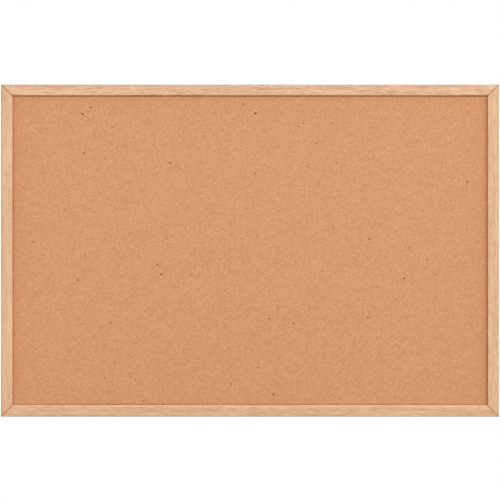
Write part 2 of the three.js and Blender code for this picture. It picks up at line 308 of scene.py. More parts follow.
woodFinish = {
    "tone": {
        "top": (0.724, 0.431, 0.257),
        "bottom": (0.716, 0.435, 0.254),
        "left": (0.738, 0.457, 0.273),
        "right": (0.736, 0.453, 0.264),
    },
    "dark share": (0.70, 0.60, 0.49),
    "pale share": (1.28, 1.38, 1.51),
    "contrast": {"top": 1.36, "bottom": 1.36, "left": 0.96, "right": 0.88},
    "grain length": {"top": 1.0, "bottom": 1.1, "left": 1.0, "right": 1.0},
    "grain width": {"top": 1.0, "bottom": 0.64, "left": 1.0, "right": 1.0},
    "start": {
        "top": (0.31, 0.12, 0.05),
        "bottom": (2.17, 0.45, 0.61),
        "left": (4.73, 0.83, 1.27),
        "right": (7.91, 1.32, 2.09),
    },
    "pinkish": (1.03, 0.985, 1.02),
    "yellowish": (0.985, 1.01, 0.93),
    "edge grey": (0.78, 0.91, 1.0),
    "mitre brown": (0.29, 0.093, 0.007),
    # painted shade along the sight edge, deepest on the top and right, whose bevels face away from the key
    # lamp
    "sight brown": {
        "top": (0.64, 0.455, 0.21),
        "bottom": (0.60, 0.43, 0.29),
        "left": (0.60, 0.43, 0.29),
        "right": (0.99, 0.71, 0.48),
    },
    # painted highlight on the bevel: it lifts the right stile's shaded bevel and brightens the lit bevels of
    # the left stile and the bottom rail
    "bevel pale": (1.11, 1.09, 1.20),
    "bands": (160 * mm, 6 * mm, 6 * mm),
    "streaks": (15 * mm, 1.7 * mm, 1.7 * mm),
    "fibres": (8 * mm, 0.9 * mm, 0.9 * mm),
    "pores": (6.5 * mm, 0.22 * mm, 0.22 * mm),
    "mottle": (50 * mm, 11 * mm, 11 * mm),
    "tint": (70 * mm, 6 * mm, 6 * mm),
    "open pores": (0.60, 0.72),
    "tint range": (0.35, 0.65),
    "weights": {"bands": 0.50, "streaks": 1.05, "fibres": 0.85, "mottle": 0.32, "pores": -0.16},
    "relief weights": {"fibres": 0.5, "streaks": 0.4, "pores": -0.9},
    "roughness": (0.50, 0.64),
    "bump": (0.06 * mm, 0.5),     # depth and strength
    "specular": 0.3,
}


def makeWood(side):
    # Grain runs along X, and a quarter turn about Y brings it upright. Each length starts elsewhere in the
    # log.
    f = woodFinish
    material, tree = newMaterial("pale wood, " + side)
    turn = (0, quarterTurn, 0) if side in ("left", "right") else (0, 0, 0)
    longer, wider = f["grain length"][side], f["grain width"][side]
    place = stretched(tree, objectPlace(tree, turn, f["start"][side]), (longer, wider, wider))
    grain = {
        "bands": noise(tree, place, f["bands"], 2.0, 0.5, 0.3),
        "streaks": noise(tree, place, f["streaks"], 3.0, 0.55, 0.2),
        "fibres": noise(tree, place, f["fibres"], 2.0, 0.6),
        "pores": remap(tree, noise(tree, place, f["pores"], 1.0), *f["open pores"]),
        "mottle": noise(tree, place, f["mottle"]),
    }
    shade = addUp(tree, grain, f["weights"], f["contrast"][side])
    tone = f["tone"][side]
    wood = mixColour(tree, shade, times(tone, f["dark share"]), times(tone, f["pale share"]))
    tint = remap(tree, noise(tree, place, f["tint"]), *f["tint range"])
    tinted = mixColour(tree, tint, f["pinkish"], f["yellowish"])
    wood = mixColour(tree, 1.0, wood, tinted, "MULTIPLY")
    wood = stained(tree, wood, "edge", f["edge grey"])
    # painted highlight on the bevel
    wood = stained(tree, wood, "bevel", f["bevel pale"])
    # painted shade along the sight edge
    wood = stained(tree, wood, "sight", f["sight brown"][side])
    wood = mixColour(tree, painted(tree, "mitre"), wood, f["mitre brown"])
    roughness = remap(tree, grain["streaks"], *noiseRange, *f["roughness"])
    height = addUp(tree, grain, f["relief weights"])
    finishMaterial(tree, wood, roughness, height, f["bump"], Specular_IOR_Level=f["specular"])
    return material


woods = {
    "top_rail": makeWood("top"),
    "bottom_rail": makeWood("bottom"),
    "left_stile": makeWood("left"),
    "right_stile": makeWood("right"),
}


# The mitred moulding. The widths of its dark lines (the mitres, and the painted shade along the sight edge)
# and of the painted highlight on its bevel go by the side.

moulding = {
    "wall": 14 * mm,
    "lip depth": 3.3 * mm,
    "chamfer width": 2.1 * mm,
    "chamfer depth": 2.7 * mm,
    "outer round": 1.3 * mm,
    "back arris": 0.6 * mm,
    "soft edge": 0.25 * mm,
    "mitre arris": 0.14 * mm,
    "mitre gap": 0.04 * mm,
    "mitre line": {
        "top_rail": 0.97 * mm,
        "bottom_rail": 0.69 * mm,
        "stile head": 0.30 * mm,
        "stile foot": 0.69 * mm,
    },
    "mitre swell": 0.7,       # how much wider the line is at the outer edge
    "mitre swell reach": 1.3 * mm,
    "mitre outer share": 0.8,
    # widths of the painted shade along the sight edge
    "sight line": {
        "top_rail": 1.0 * mm,
        "right_stile": 1.1 * mm,
        "bottom_rail": 0.96 * mm,
        "left_stile": 1.4 * mm,
    },
    "sight middle": {"top_rail": 1.55 * mm, "right_stile": 0.0, "bottom_rail": 0.0, "left_stile": 0.0},
    "sight fade": 1.5,        # counted in lip depths from the front
    # how far out from the sight edge the bevel's painted highlight reaches
    "pale reach": {
        "top_rail": 0.0,
        "right_stile": 3.3 * mm,
        "bottom_rail": 3.9 * mm,
        "left_stile": 2.6 * mm,
    },
    "pale blend": 0.4 * mm,
    "worn edge": 2.0 * mm,
    "worn side": 3.5 * mm,
    # in millimetres from each end
    "end rings": (0, 0.12, 0.25, 0.4, 0.55, 0.75, 1.0, 1.3, 1.7, 2.2, 3.0, 4.5),
    "stations": 72,
    "last station": 0.98,
}
sides = {
    "top_rail": (0, 1),
    "right_stile": (1, 0),
    "bottom_rail": (0, -1),
    "left_stile": (-1, 0),
}


def makeMoulding(name, outX, outZ):
    # The section is (distance in from the outer edge, depth from the front). At station a, from -1 to 1, a
    # point lies a * (half length - distance in) along the side, so both ends are cut at 45 degrees. The
    # end rings are drawn in by the arris, which leaves a fine groove where two sides meet.
    m = moulding
    depth = backPlane - frontPlane
    wall = m["wall"]
    lip = m["lip depth"]
    corners = [
        (0, 0), (railFace - m["chamfer width"], 0), (railFace, m["chamfer depth"]), (railFace, lip),
        (wall, lip), (wall, depth), (m["back arris"], depth), (0, depth - m["back arris"]),
    ]
    soft = m["soft edge"]
    section = softOutline(corners, [m["outer round"], soft, soft, soft, soft / 2, soft, soft, soft], 7, 7)
    normals = outlineNormals(section)
    half, length = (halfWidth, halfHeight) if outX else (halfHeight, halfWidth)
    reach = length - m["mitre gap"] / 2
    near = np.array(m["end rings"]) * mm / reach
    inner = np.sin(np.linspace(-1, 1, m["stations"]) * quarterTurn) * m["last station"]
    stations = np.concatenate([-1 + near, inner[1:-1], 1 - near[::-1]])
    drawnIn = np.where(np.abs(stations) == 1, m["mitre arris"], 0)[:, None]
    inwards = section[:, 0] - normals[:, 0] * drawnIn
    deep = section[:, 1] - normals[:, 1] * drawnIn
    along = stations[:, None] * (reach - section[:, 0])
    out = half - inwards
    rings = np.stack([outX * out + outZ * along, frontPlane + deep, outZ * out - outX * along], -1)
    points, faces = ringStack(rings)
    attributes = mouldingLines(name, outX, stations, reach - section[:, 0], inwards, deep)
    return makePiece(name + "_wood", points, faces, "board", woods[name], [name], attributes)


def mouldingLines(name, outX, stations, halfLength, inwards, deep):
    # The grey band on the outer edge and the painted shade along the sight edge are exp(-(distance /
    # width)^2), and the line of the mitre is exp(-(distance / width)^4), with a wider line where it leaves the
    # outer edge.
    m = moulding
    edge = np.exp(-(inwards / m["worn edge"]) ** 2 - (deep / m["worn side"]) ** 2)
    shallow = np.clip(m["sight fade"] - deep / m["lip depth"], 0, 1)
    fromSight = railFace - inwards
    sight = np.exp(-((fromSight - m["sight middle"][name]) / m["sight line"][name]) ** 2) * shallow
    pale = m["pale reach"][name]
    bevel = np.clip((pale - fromSight) / m["pale blend"], 0, 1) * shallow * (pale > 0)
    lines = m["mitre line"]
    if outX:
        line = np.where(outX * stations < 0, lines["stile head"], lines["stile foot"])[:, None]
    else:
        line = lines[name]
    line = line * (1 + m["mitre swell"] * np.exp(-(inwards / m["mitre swell reach"]) ** 2))
    toMitre = (1 - np.abs(stations))[:, None] * halfLength / math.sqrt(2)
    outer = m["mitre outer share"]
    mitre = np.exp(-(toMitre / line) ** 4) * (outer + (1 - outer) * np.clip(inwards / railFace, 0, 1))
    return {"edge": edge, "bevel": bevel, "sight": sight, "mitre": mitre}


for name, (outX, outZ) in sides.items():
    makeMoulding(name, outX, outZ)
print("moulding made")


# The cork: fine pressed granules with flecks of dark bark

corkFinish = {
    "tone": (0.680, 0.324, 0.157),
    "dark share": (0.78, 0.58, 0.38),
    "pale share": (1.22, 1.44, 1.68),
    "bark": (0.10, 0.040, 0.018),
    "bark granules": (0.985, 0.995),
    "bark strength": 0.35,
    # painted shade towards the frame, and painted shade in the joint
    "rim share": (0.92, 0.83, 0.755),
    "joint share": (0.62, 0.54, 0.46),
    "granule": 2.3 * mm,
    "fine granule": 1.0 * mm,
    "seam": 0.10,
    "bends a metre": 700.0,
    "bend": 1.2 * mm,
    "grit": 0.45 * mm,
    "crumb": 0.16 * mm,
    "drift": 9 * mm,
    "clouds": 45 * mm,
    "weights": {
        "granules": 0.29, "fine": 0.26, "grit": 0.24, "crumb": 0.35, "drift": 0.13, "clouds": 0.04,
        "seams": 0.16,
    },
    "relief weights": {"seams": 0.5, "fine": 0.3, "grit": 0.5, "crumb": 0.4},
    "roughness": (0.86, 0.98),
    "bump": (0.06 * mm, 0.5),
    "specular": 0.15,
}


def makeCork():
    # Cells of two sizes, bent by a fine noise, with their seams and finer grit
    f = corkFinish
    material, tree = newMaterial("pressed cork")
    place = objectPlace(tree)
    warp = put(tree, "TexNoise", {"Vector": place, "Scale": f["bends a metre"], "Detail": 2.0}).outputs[1]
    bend = put(tree, "VectorMath", {0: warp, 1: (0.5, 0.5, 0.5)}, operation="SUBTRACT").outputs[0]
    bend = put(tree, "VectorMath", {0: bend, "Scale": f["bend"]}, operation="SCALE").outputs[0]
    bent = put(tree, "VectorMath", {0: place, 1: bend}, operation="ADD").outputs[0]
    granules = put(tree, "SeparateColor", {0: cells(tree, bent, f["granule"])}).outputs
    fine = put(tree, "SeparateColor", {0: cells(tree, bent, f["fine granule"])}).outputs
    seams = cells(tree, bent, f["granule"], "Distance", "DISTANCE_TO_EDGE")
    layers = {
        "granules": granules[0],
        "fine": fine[0],
        "seams": remap(tree, seams, 0.0, f["seam"]),
        "grit": noise(tree, place, f["grit"]),
        "crumb": noise(tree, place, f["crumb"], 3.0, 0.6),
        "drift": noise(tree, place, f["drift"]),
        "clouds": noise(tree, place, f["clouds"]),
    }
    shade = addUp(tree, layers, f["weights"])
    cork = mixColour(tree, shade, times(f["tone"], f["dark share"]), times(f["tone"], f["pale share"]))
    bark = remap(tree, fine[1], *f["bark granules"])
    cork = mixColour(tree, maths(tree, "MULTIPLY", bark, f["bark strength"]), cork, f["bark"])
    # painted shade towards the frame
    cork = stained(tree, cork, "rim", f["rim share"])
    # painted shade and painted shadow in the joint
    cork = stained(tree, cork, "joint", f["joint share"])
    roughness = remap(tree, layers["grit"], *noiseRange, *f["roughness"])
    height = addUp(tree, layers, f["relief weights"])
    finishMaterial(tree, cork, roughness, height, f["bump"], Specular_IOR_Level=f["specular"])
    return material


corkSheet = {
    "pitch": 3.0 * mm,
    "margin": 2 * mm,
    "border line": 3 * mm,
    "step lines": (0.0, 0.08, 0.25, 0.7),     # in millimetres inside the field
    "step width": 0.3 * mm,
    "pressed border": 0.3 * mm,
    "field play": 0.3 * mm,
    "relief": 0.022 * mm,
    "broad relief": 0.05 * mm,
    "broad passes": 60,
    "most relief": 0.15 * mm,
    # reaches and weights of the painted shade towards the frame
    "rim reach": 8.0 * mm,
    "broad rim reach": 45 * mm,
    "broad rim share": 0.3,
    "rim weights": {"left": 1.0, "right": 1.0, "top": 0.8, "bottom": 0.18},
    # the painted shade in the joint; the right's wider reach paints the right stile's cast shadow
    "joint reach": {"left": 1.0 * mm, "right": 2.1 * mm, "top": 0.3 * mm, "bottom": 0.9 * mm},
    "seed": 11,
}
fieldX = halfWidth - railFace - corkSheet["field play"]
fieldZ = halfHeight - railFace - corkSheet["field play"]


def fieldLines(edge, field):
    # Places of the sheet's grid lines along one way: the pressed border, the step up and the open field
    step = np.array(corkSheet["step lines"]) * mm
    border, end = edge - corkSheet["border line"], field - corkSheet["margin"]
    count = int(round(2 * end / corkSheet["pitch"]))
    even = np.linspace(-end, end, count)
    return np.concatenate([[-edge, -border], -field + step, even, field - step[::-1], [border, edge]])


def corkGrid():
    # The grid's lines along X and Z, and the depth of the front where they cross: the cork's plane, plus the
    # pressed border outside the field, plus a seeded relief inside it.
    s = corkSheet
    random = np.random.default_rng(s["seed"])
    lineX, lineZ = fieldLines(corkEnd.x, fieldX), fieldLines(corkEnd.z, fieldZ)
    x, z = np.meshgrid(lineX, lineZ, indexing="ij")
    inside = np.minimum(fieldX - np.abs(x), fieldZ - np.abs(z))
    relief = s["relief"] * smoothNoise(random, x.shape, 1)
    relief += s["broad relief"] * smoothNoise(random, x.shape, s["broad passes"])
    relief = np.clip(relief, -s["most relief"], s["most relief"]) * np.clip(inside / s["margin"], 0, 1)
    return lineX, lineZ, corkPlane + (1 - eased(inside / s["step width"])) * s["pressed border"] + relief


def fromSides(points):
    # How far each point is inside the open field, from each of its four sides
    x, z = points[:, 0], points[:, 2]
    gaps = {"left": fieldX + x, "right": fieldX - x, "top": fieldZ - z, "bottom": fieldZ + z}
    return {side: np.maximum(gap, 0) for side, gap in gaps.items()}


def corkRimShade(points):
    # Painted shade towards the frame: the cork darkens and reddens by the sum of exp(-gap / reach) over a near
    # and a broad reach, each times its share
    s = corkSheet
    broad = s["broad rim share"]
    rims = []
    for side, gap in fromSides(points).items():
        brown = (1 - broad) * np.exp(-gap / s["rim reach"]) + broad * np.exp(-gap / s["broad rim reach"])
        rims.append(s["rim weights"][side] * brown)
    return np.max(rims, axis=0)


def corkJointShade(points):
    # Painted shade in the joint, exp(-gap / reach) from the nearest side; the right's wider reach paints the
    # right stile's shadow
    gaps = fromSides(points)
    return np.max([np.exp(-gap / corkSheet["joint reach"][side]) for side, gap in gaps.items()], axis=0)


def makeCorkSheet():
    # The front is the grid. Its rim is carried straight back, and closed behind by a fan round the middle.
    lineX, lineZ, y = corkField
    x, z = np.meshgrid(lineX, lineZ, indexing="ij")
    front = np.stack([x, y, z], -1).reshape(-1, 3)
    rim = gridRim(*y.shape)
    back = front[rim]
    back[:, 1] = corkEnd.y
    behind = len(front) + np.arange(len(rim))
    middle = np.full(len(rim), len(front) + len(rim))
    walls = np.stack([rim, behind, np.roll(behind, -1), np.roll(rim, -1)], -1)
    fan = np.stack([behind, middle, np.roll(behind, -1)], -1)
    points = np.concatenate([front, back, [[0.0, corkEnd.y, 0.0]]])
    faces = [gridQuads(*y.shape)[:, ::-1], walls[:, ::-1], fan[:, ::-1]]
    attributes = {"rim": corkRimShade(points), "joint": corkJointShade(points)}
    return makePiece("cork_face", points, faces, "board", cork, ["cork_sheet"], attributes)


def corkFront(x, z):
    # The depth of the cork's front at any place: the mean of the four grid points round it, each weighed by
    # how near the place is to it
    lineX, lineZ, y = corkField
    i, j = np.searchsorted(lineX, x) - 1, np.searchsorted(lineZ, z) - 1
    u = (x - lineX[i]) / (lineX[i + 1] - lineX[i])
    v = (z - lineZ[j]) / (lineZ[j + 1] - lineZ[j])
    near = y[i, j] * (1 - v) + y[i, j + 1] * v
    far = y[i + 1, j] * (1 - v) + y[i + 1, j + 1] * v
    return near * (1 - u) + far * u


cork = makeCork()
corkField = corkGrid()
makeCorkSheet()
print("cork laid")


# Flecks of bark, from black to pale, all scattered by a seeded draw

flecks = {
    "blackest": {"count": 2, "radius": 1.83 * mm, "tone": 0.0},
    "darkest": {"count": 3, "radius": 1.62 * mm, "tone": 0.06},
    "dark": {"count": 11, "radius": 1.60 * mm, "tone": 0.42},
    "brown": {"count": 10, "radius": 1.53 * mm, "tone": 0.545},
    "medium": {"count": 16, "radius": 1.56 * mm, "tone": 0.745},
    "light": {"count": 21, "radius": 1.54 * mm, "tone": 0.885},
    "pale": {"count": 24, "radius": 1.20 * mm, "tone": 0.88},
    "faint": {"count": 30, "radius": 1.0 * mm, "tone": 0.8},
}
fleckShape = {
    "faint sizes": (0.6, 1.2),
    "margin": 3 * mm,
    "tone play": 0.04,
    "swell": (0.22, 0.14),
    "ring shares": (0.45, 0.8, 1.0),
    "rise": 0.10 * mm,
    "proud": 0.03 * mm,
    "sunk": 0.15 * mm,
    "steps": 12,
    "seed": 1,
}
barkFinish = {
    "black": (0.12, 0.014, 0.0001),
    "brown": (0.29, 0.095, 0.024),
    "pale brown": (0.53, 0.235, 0.095),
    "grain share": (1.3, 1.4, 1.5),
    "grain": 0.35 * mm,
    "grain range": (0.42, 0.72),
    "roughness": (0.85, 0.98),
    "bump": (0.05 * mm, 0.6),
    "specular": 0.04,
}


def makeFlecks():
    # Each fleck is a low dome: at share r of its radius it stands rise * (1 - r * r) + proud above the cork,
    # and its radius swells and shrinks with the angle by two cosines. Its foot goes down into the cork.
    s = fleckShape
    random = np.random.default_rng(s["seed"])
    counts = [kind["count"] for kind in flecks.values()]
    steps, n, faint = s["steps"], sum(counts), flecks["faint"]["count"]
    places = random.uniform(-1, 1, (n, 2)) * (fieldX - s["margin"], fieldZ - s["margin"])
    radii = np.repeat([kind["radius"] for kind in flecks.values()], counts)
    tones = np.repeat([kind["tone"] for kind in flecks.values()], counts)
    radii[-faint:] *= random.uniform(*s["faint sizes"], faint)
    angle = circle(steps)
    phase = random.uniform(0, fullTurn, (n, 2, 1))
    twice, thrice = s["swell"]
    swell = 1 + twice * np.cos(2 * angle + phase[:, 0]) + thrice * np.cos(3 * angle + phase[:, 1])
    shares = np.array(s["ring shares"])
    heights = np.append(s["rise"] * (1 - shares ** 2) + s["proud"], -s["sunk"])
    shares = np.append(shares, shares[-1])
    arm = radii[:, None, None] * shares[:, None] * swell[:, None]
    x = places[:, 0, None, None] + arm * np.cos(angle)
    z = places[:, 1, None, None] + arm * np.sin(angle)
    rings = np.stack([x, corkFront(x, z) - heights[:, None], z], -1)
    summit = corkFront(places[:, 0], places[:, 1]) - s["rise"] - s["proud"]
    top = np.stack([places[:, 0], summit, places[:, 1]], -1)
    points = np.concatenate([rings.reshape(n, -1, 3), top[:, None]], 1).reshape(-1, 3)
    inRings = len(shares) * steps
    first = (np.arange(n) * (inRings + 1))[:, None, None]
    c = np.arange(steps)
    quads = ringQuads(len(shares), steps) + first
    fans = np.stack([c, np.full(steps, inRings), (c + 1) % steps], -1) + first
    feet = inRings - steps + c + first
    faces = [quads.reshape(-1, 4), fans.reshape(-1, 3), feet.reshape(-1, steps)]
    tone = np.repeat(tones + random.uniform(-s["tone play"], s["tone play"], n), inRings + 1)
    return makePiece("cork_bark_flecks", points, faces, "board", bark, (), {"tone": tone}, 60)


def makeBark():
    # Black at a tone of 0, brown at a half and pale brown at 1, with a paler grain
    f = barkFinish
    material, tree = newMaterial("dark bark")
    place = objectPlace(tree)
    tone = painted(tree, "tone")
    grain = noise(tree, place, f["grain"], 3.0)
    brown = mixColour(tree, remap(tree, tone, 0.0, 0.5), f["black"], f["brown"])
    brown = mixColour(tree, remap(tree, tone, 0.5, 1.0), brown, f["pale brown"])
    lighter = mixColour(tree, 1.0, brown, f["grain share"], "MULTIPLY")
    brown = mixColour(tree, remap(tree, grain, *f["grain range"]), brown, lighter)
    roughness = remap(tree, grain, *noiseRange, *f["roughness"])
    finishMaterial(tree, brown, roughness, grain, f["bump"], Specular_IOR_Level=f["specular"])
    return material


bark = makeBark()
makeFlecks()
print("flecks pressed in")


# The core and the backing

coreFinish = {
    "dark": (0.22, 0.135, 0.062),
    "pale": (0.56, 0.385, 0.20),
    "fibres": (2.5 * mm, 0.3 * mm, 2.5 * mm),
    "clumps": 7 * mm,
    "weights": {"fibres": 0.9, "clumps": 0.6},
    "roughness": (0.85, 1.0),
    "bump": (0.3 * mm, 0.7),
    "specular": 0.15,
}


def makeFibreCore():
    f = coreFinish
    material, tree = newMaterial("soft fibre core")
    place = objectPlace(tree)
    fibres = noise(tree, place, f["fibres"], 4.0, 0.65, 0.6)
    layers = {"fibres": fibres, "clumps": noise(tree, place, f["clumps"])}
    colour = mixColour(tree, addUp(tree, layers, f["weights"]), f["dark"], f["pale"])
    roughness = remap(tree, fibres, *noiseRange, *f["roughness"])
    finishMaterial(tree, colour, roughness, fibres, f["bump"], Specular_IOR_Level=f["specular"])
    return material


backingFinish = {
    "tone": (0.323, 0.175, 0.080),
    "dark share": (0.62, 0.56, 0.5),
    "pale share": (1.42, 1.5, 1.6),
    "screen pitch": 1.7 * mm,
    "wave length": 0.314,      # of Blender's wave texture at a scale of 1
    "fibres": (3.5 * mm, 0.5 * mm, 1.1 * mm),
    "blotches": 38 * mm,
    "speckle": 0.9 * mm,
    "speckle range": (0.6, 0.72),
    "weights": {"fibres": 0.8, "blotches": 0.5, "screen": 0.22, "speckle": -0.25},
    "relief weights": {"screen": 1.0, "fibres": 0.4},
    "roughness": (0.62, 0.82),
    "bump": (0.16 * mm, 0.6),
    "specular": 0.25,
}


def makeHardboard():
    # Brown hardboard with the print of the wire screen it was pressed on
    f = backingFinish
    material, tree = newMaterial("hardboard")
    place = objectPlace(tree)
    scaled = stretched(tree, place, f["screen pitch"] / f["wave length"])
    inputs = {"Vector": scaled, "Scale": 1.0, "Distortion": 0.25, "Detail": 1.0, "Detail Scale": 2.0}
    upright = put(tree, "TexWave", inputs, bands_direction="X", wave_profile="SIN").outputs[1]
    level = put(tree, "TexWave", inputs, bands_direction="Z", wave_profile="SIN").outputs[1]
    layers = {
        "screen": maths(tree, "MULTIPLY", upright, level),
        "fibres": noise(tree, place, f["fibres"], 4.0, 0.6, 0.8),
        "blotches": noise(tree, place, f["blotches"], 3.0),
        "speckle": remap(tree, noise(tree, place, f["speckle"]), *f["speckle range"]),
    }
    shade = addUp(tree, layers, f["weights"])
    colour = mixColour(tree, shade, times(f["tone"], f["dark share"]), times(f["tone"], f["pale share"]))
    roughness = remap(tree, layers["fibres"], *noiseRange, *f["roughness"])
    height = addUp(tree, layers, f["relief weights"])
    finishMaterial(tree, colour, roughness, height, f["bump"], Specular_IOR_Level=f["specular"])
    return material


backingSheet = {
    "edge": 0.2 * mm,
    "relief": 0.025 * mm,
    "relief passes": 30,
    "flat border": 10 * mm,
    "columns": 110,
    "rows": 72,
    "seed": 23,
}


def sheetLines(low, high, count):
    # Grid lines from low to high: even ones, and one more in the rounding at each end
    edge = backingSheet["edge"]
    even = np.linspace(low + 2 * edge, high - 2 * edge, count)
    return np.concatenate([[low, low + edge], even, [high - edge, high]])


def makeBackingSheet():
    # A thin slab with a flat front. Its back is a grid that falls by edge * (1 - inside / edge)^2 at its rim,
    # and bows by a seeded, smooth few hundredths of a millimetre.
    s = backingSheet
    low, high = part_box("backing_sheet")
    random = np.random.default_rng(s["seed"])
    lineX, lineZ = sheetLines(low.x, high.x, s["columns"]), sheetLines(low.z, high.z, s["rows"])
    x, z = np.meshgrid(lineX, lineZ, indexing="ij")
    inside = np.minimum(high.x - np.abs(x), high.z - np.abs(z))
    y = high.y - s["edge"] * np.clip(1 - inside / s["edge"], 0, 1) ** 2
    relief = s["relief"] * smoothNoise(random, x.shape, s["relief passes"])
    y = y + relief * np.clip(inside / s["flat border"], 0, 1)
    back = np.stack([x, np.minimum(y, high.y), z], -1).reshape(-1, 3)
    front = back.copy()
    front[:, 1] = low.y
    quads, rim = gridQuads(*x.shape), gridRim(*x.shape)
    walls = np.stack([rim, np.roll(rim, -1), np.roll(rim, -1) + len(back), rim + len(back)], -1)
    points, faces = np.concatenate([back, front]), [quads, quads[:, ::-1] + len(back), walls[:, ::-1]]
    return makePiece("backing_board", points, faces, "board", hardboard, ["backing_sheet"])


core = makeFibreCore()
for slotRow in frame["nodes"]["core_board"].material_slots:
    slotRow.material = core
hardboard = makeHardboard()
makeBackingSheet()
print("panel backed")


# Zinc-plated steel, with fine drawn marks whose size goes by the kind of piece

steelFinish = {
    "tone": (0.485, 0.503, 0.521),
    "bright share": (1.25, 1.25, 1.25),
    "dull": (0.30, 0.305, 0.30),
    "dull strength": 0.6,
    "marks": {
        "strip": (0.12 * mm, 3 * mm, 3 * mm),
        "wire": (0.35 * mm, 0.35 * mm, 0.35 * mm),
        "fasteners": (0.6 * mm, 0.25 * mm, 0.6 * mm),
    },
    "bloom": 1.6 * mm,
    "pits": 0.28 * mm,
    "pit range": (0.66, 0.74),
    "pit tone": (0.16, 0.15, 0.14),
    "pit strength": 0.5,
    "weights": {"bloom": 0.9, "marks": 0.5},
    "roughness weights": {"bloom": 0.7, "marks": 0.7},
    "relief weights": {"marks": 0.8, "pits": -0.6},
    "roughness": (0.24, 0.46),
    "bump": (0.03 * mm, 0.4),
}


def makeSteel(kind):
    f = steelFinish
    material, tree = newMaterial("zinc steel " + kind)
    place = objectPlace(tree)
    layers = {
        "marks": noise(tree, place, f["marks"][kind], 3.0, 0.6),
        "bloom": noise(tree, place, f["bloom"], 4.0, 0.6),
        "pits": remap(tree, noise(tree, place, f["pits"]), *f["pit range"]),
    }
    dull = maths(tree, "MULTIPLY", addUp(tree, layers, f["weights"]), f["dull strength"])
    colour = mixColour(tree, dull, times(f["tone"], f["bright share"]), f["dull"])
    pitted = maths(tree, "MULTIPLY", layers["pits"], f["pit strength"])
    colour = mixColour(tree, pitted, colour, f["pit tone"])
    roughness = remap(tree, addUp(tree, layers, f["roughness weights"]), *noiseRange, *f["roughness"])
    height = addUp(tree, layers, f["relief weights"])
    finishMaterial(tree, colour, roughness, height, f["bump"], Metallic=1.0)
    return material


steel = {kind: makeSteel(kind) for kind in steelFinish["marks"]}


# V-nails and framer's points. The last rings of a nail are shares of its soft edge, down and in.

vNail = {
    "leg": 5 * mm,
    "thickness": 0.5 * mm,
    "lip": 0.8 * mm,
    "corner": 0.12 * mm,
    "foot": 1.2 * mm,
    "soft edge": 0.06 * mm,
    "down shares": (2, 1, 0.3, 0),
    "in shares": (0, 0.15, 0.5, 1),
    "proud": 0.05 * mm,
}


def makeVNail(name):
    # Its plan is a chevron with two lips turned outwards, stacked in rings from the sharp foot to the top,
    # which is a hair above the wood. The point of the V is the corner nearest the board's own corner.
    low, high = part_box(name)
    v = vNail
    lipReach = v["thickness"] / 2 + v["lip"]
    sx = math.copysign(1, low.x + high.x)
    sz = math.copysign(1, low.z + high.z)
    pointX = (high.x if sx > 0 else low.x) - sx * lipReach
    pointZ = (high.z if sz > 0 else low.z) - sz * lipReach
    h, leg, lipStart = v["thickness"] / 2, v["leg"], v["leg"] - v["thickness"]
    plan = [
        (-h, -h), (lipStart, -h), (lipStart, -lipReach), (leg, -lipReach), (leg, h),
        (h, h), (h, leg), (-lipReach, leg), (-lipReach, lipStart), (-h, lipStart),
    ]
    outline = softOutline(plan, [v["corner"]] * len(plan), 4, 2)
    normals = outlineNormals(outline)
    soft, top = v["soft edge"], backPlane + v["proud"]
    levels = np.concatenate([[low.y, low.y + v["foot"]], top - soft * np.array(v["down shares"])])
    drawnIn = soft * np.array([1, 0, *v["in shares"]])[:, None]
    a = outline[:, 0] - normals[:, 0] * drawnIn
    b = outline[:, 1] - normals[:, 1] * drawnIn
    rings = np.stack([pointX - sx * a, np.broadcast_to(levels[:, None], a.shape), pointZ - sz * b], -1)
    points, faces = ringStack(rings)
    return makePiece(name + "_steel", points, faces, "board", steel["fasteners"], [name])


pointTab = {
    "thickness": 0.45 * mm,
    "corner": 0.9 * mm,
    "first turn": 0.08,
    "straight from": 1.5 * mm,
    "tip": 2 * mm,
    "tip end": 0.05 * mm,
    "tip width share": 0.02,
    "curl": 0.35 * mm,
    "curl reach": 4 * mm,
    "soft edge": 0.07 * mm,
}


def makeFramersPoint(name):
    # A flat tab carried from its free end to its driven tip. Its half width rounds off at the free end and
    # runs to a point at the tip, and the free end curls up a little from the backing.
    low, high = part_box(name)
    p = pointTab
    middle, size = (low + high) / 2, high - low
    side = name.split("_")[2]
    outX, outZ = sides[side + ("_rail" if side in ("top", "bottom") else "_stile")]
    out = np.array([outX, 0.0, outZ])
    length, half = (size.x, size.z / 2) if outX else (size.z, size.x / 2)
    rounded = p["corner"] * (1 - np.cos(np.linspace(p["first turn"], quarterTurn, 6)))
    straight = np.linspace(p["straight from"], length - p["tip"], 10)
    s = np.concatenate([rounded, straight, [length - p["tip"] / 2, length - p["tip end"]]])
    corner = np.clip(1 - s / p["corner"], 0, 1)
    taper = np.clip((length - s) / p["tip"], p["tip width share"], 1)
    widths = (half - p["corner"] + p["corner"] * np.sqrt(1 - corner ** 2)) * taper
    lift = p["curl"] * np.clip(1 - s / p["curl reach"], 0, 1) ** 2
    start = np.array([middle.x, panelBack + p["thickness"] / 2, middle.z]) - out * length / 2
    path = start + s[:, None] * out + lift[:, None] * np.array([0, 1, 0])
    normals = np.broadcast_to([0.0, 1.0, 0.0], path.shape)
    sideways = np.array([outZ, 0.0, -outX])
    points, faces = ringStack(stripAlong(path, normals, sideways, widths, p["thickness"], p["soft edge"]))
    return makePiece(name + "_steel", points, faces, "board", steel["fasteners"], [name])


for name in sorted(frame["nodes"]):
    if name.startswith("v_nail"):
        makeVNail(name)
    if name.startswith("framers_point"):
        makeFramersPoint(name)
print("nails and points driven")


# Ring hangers

strap = {
    "width": 8 * mm,
    "thickness": 1 * mm,
    "length": 26 * mm,
    "first turn": 0.05,
    "eye radius": 1.3 * mm,
    "seam": 0.4 * mm,
    "soft edge": 0.18 * mm,
    "round steps": 10,
    "flat steps": 26,
    "roll steps": 44,
}


